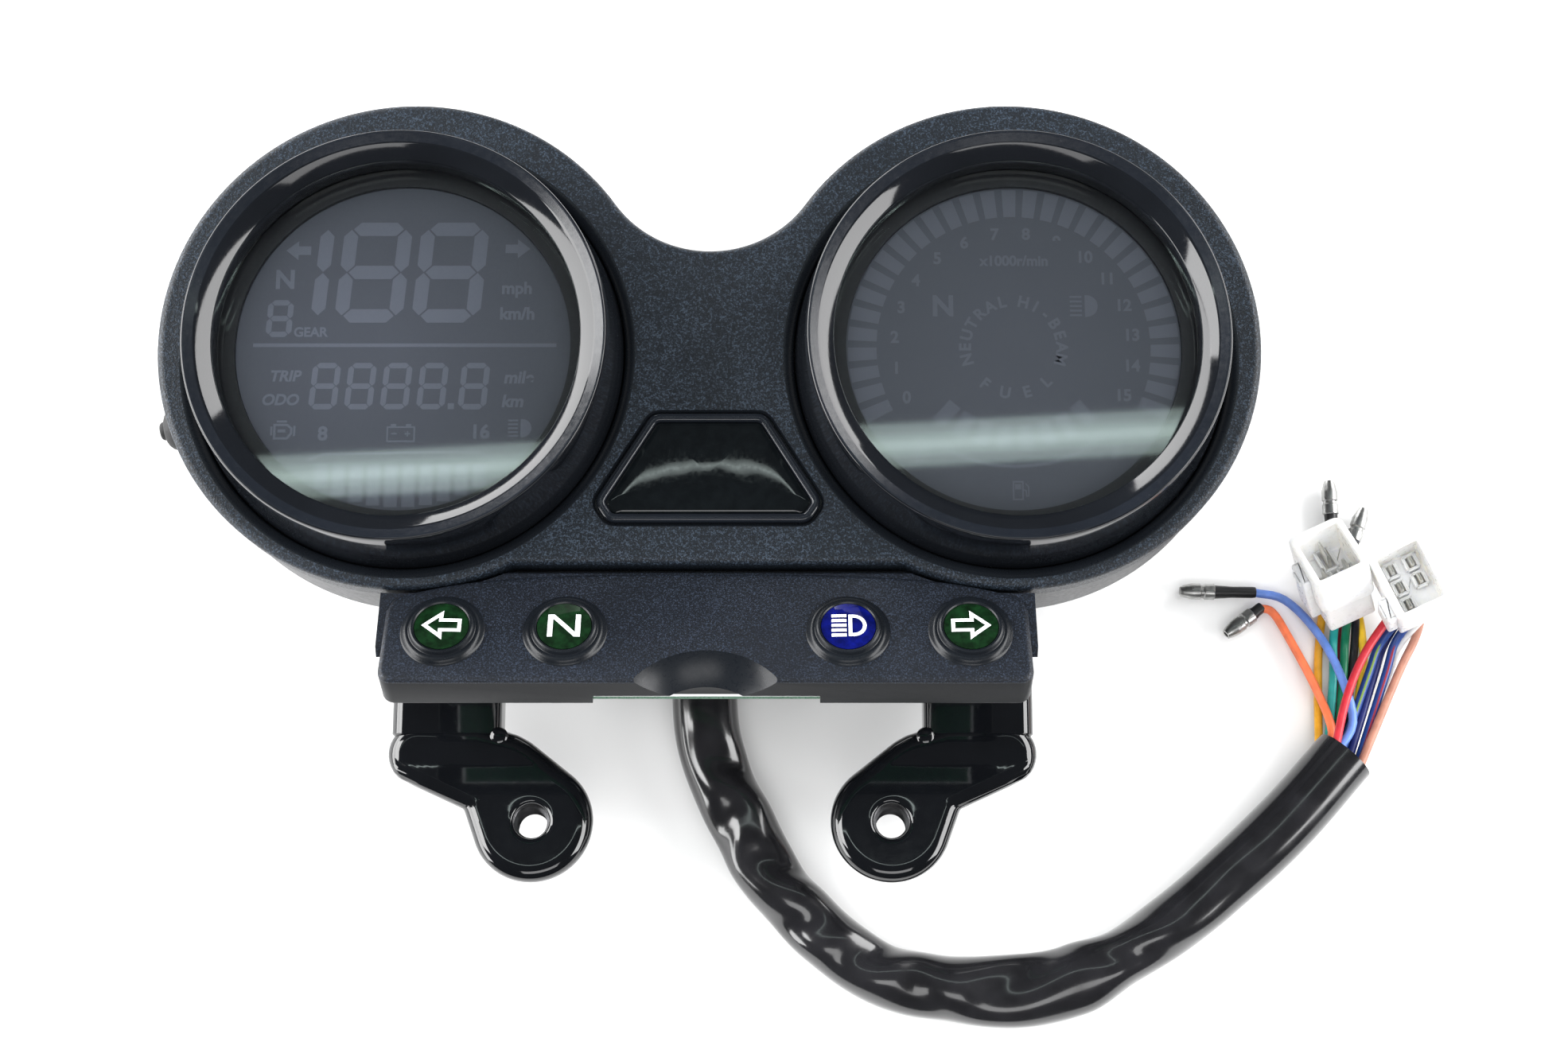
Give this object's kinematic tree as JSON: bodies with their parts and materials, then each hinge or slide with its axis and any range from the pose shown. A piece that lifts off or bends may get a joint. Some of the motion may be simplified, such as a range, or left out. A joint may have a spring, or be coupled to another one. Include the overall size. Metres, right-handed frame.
{
  "type": "motorcycle instrument cluster",
  "caption": "Twin round LCD gauges in one cowl with an indicator lamp strip, a pressed steel bracket and a sleeved wiring harness.",
  "frame": {"origin": "on the surface the cluster lies on, under the middle of its own box without the harness", "axes": "+X to the rider's right across both gauges, +Y towards the top of the dials, +Z out of the dials towards the rider"},
  "size_m": [0.296, 0.1986, 0.08],
  "materials": {
    "front_cowl": "fine leather texture",
    "rear_housing": "fine texture",
    "case_screws": "zinc plated",
    "bezel_left": "glossy black",
    "bezel_right": "glossy black",
    "lens_left": "clear",
    "lens_right": "clear",
    "lens_seals": "matte",
    "dial_mask_left": "printed",
    "dial_mask_right": "printed",
    "lcd_left": "dark display",
    "lcd_right": "dark display",
    "backlight_left": "white",
    "backlight_right": "white",
    "circuit_board_left": "solder mask",
    "circuit_board_right": "solder mask",
    "indicator_panel": "fine texture",
    "lamp_housing": "white",
    "indicator_board": "solder mask",
    "indicator_leds": "phosphor",
    "turn_left_lens": "clear, domed",
    "neutral_lens": "green tint, domed",
    "high_beam_lens": "blue tint, domed",
    "turn_right_lens": "clear, domed",
    "badge_frame": "satin black",
    "badge_dome": "glossy dome",
    "bracket_crossbar": "gloss black paint",
    "bracket_arm_left": "gloss black paint",
    "bracket_arm_right": "gloss black paint",
    "weld_nuts": "gloss black paint",
    "bracket_grommets": "matte",
    "bracket_bolts": "zinc plated",
    "mode_button": "matte",
    "button_bushing": "matte",
    "mode_switch": "moulded",
    "cable_grommet": "matte",
    "harness_sleeve": "soft glossy vinyl",
    "wire_orange": "soft vinyl",
    "wire_light_blue": "soft vinyl",
    "wire_amber": "soft vinyl",
    "wire_maroon": "soft vinyl",
    "wire_teal": "soft vinyl",
    "wire_green": "soft vinyl",
    "wire_black": "soft vinyl",
    "wire_yellow": "soft vinyl",
    "wire_red": "soft vinyl",
    "wire_blue_green": "soft vinyl",
    "wire_navy": "soft vinyl",
    "wire_blue_red": "soft vinyl",
    "wire_white": "soft vinyl",
    "wire_brown": "soft vinyl",
    "connector_four_way": "milky nylon",
    "connector_six_way": "milky nylon",
    "blade_terminals_four_way": "tin plated",
    "blade_terminals_six_way": "tin plated",
    "bullet_terminals": "nickel plated",
    "heat_shrink_tubes": "satin"
  },
  "bodies": {
    "cluster": {"front_cowl": "front_cowl", "rear_housing": "rear_housing", "case_screws": "case_screws", "bezel_left": "bezel_left", "bezel_right": "bezel_right", "lens_left": "lens_left", "lens_right": "lens_right", "lens_seals": "lens_seals", "dial_mask_left": "dial_mask_left", "dial_mask_right": "dial_mask_right", "lcd_left": "lcd_left", "lcd_right": "lcd_right", "backlight_left": "backlight_left", "backlight_right": "backlight_right", "circuit_board_left": "circuit_board_left", "circuit_board_right": "circuit_board_right", "indicator_panel": "indicator_panel", "lamp_housing": "lamp_housing", "indicator_board": "indicator_board", "indicator_leds": "indicator_leds", "turn_left_lens": "turn_left_lens", "neutral_lens": "neutral_lens", "high_beam_lens": "high_beam_lens", "turn_right_lens": "turn_right_lens", "badge_frame": "badge_frame", "badge_dome": "badge_dome", "bracket_crossbar": "bracket_crossbar", "bracket_arm_left": "bracket_arm_left", "bracket_arm_right": "bracket_arm_right", "weld_nuts": "weld_nuts", "bracket_grommets": "bracket_grommets", "bracket_bolts": "bracket_bolts", "button_bushing": "button_bushing", "mode_switch": "mode_switch", "cable_grommet": "cable_grommet", "harness_sleeve": "harness_sleeve", "wire_orange": "wire_orange", "wire_light_blue": "wire_light_blue", "wire_amber": "wire_amber", "wire_maroon": "wire_maroon", "wire_teal": "wire_teal", "wire_green": "wire_green", "wire_black": "wire_black", "wire_yellow": "wire_yellow", "wire_red": "wire_red", "wire_blue_green": "wire_blue_green", "wire_navy": "wire_navy", "wire_blue_red": "wire_blue_red", "wire_white": "wire_white", "wire_brown": "wire_brown", "connector_four_way": "connector_four_way", "connector_six_way": "connector_six_way", "blade_terminals_four_way": "blade_terminals_four_way", "blade_terminals_six_way": "blade_terminals_six_way", "bullet_terminals": "bullet_terminals", "heat_shrink_tubes": "heat_shrink_tubes"},
    "button": {"mode_button": "mode_button"}
  },
  "joints": [
    {"name": "mode_button_press", "type": "slide", "parent": "cluster", "child": "button", "axis": [0.9848, 0.1736, 0], "range_m": [0, 0.0015], "stiffness_N_per_m": 900, "springref_m": -0.0008}
  ]
}
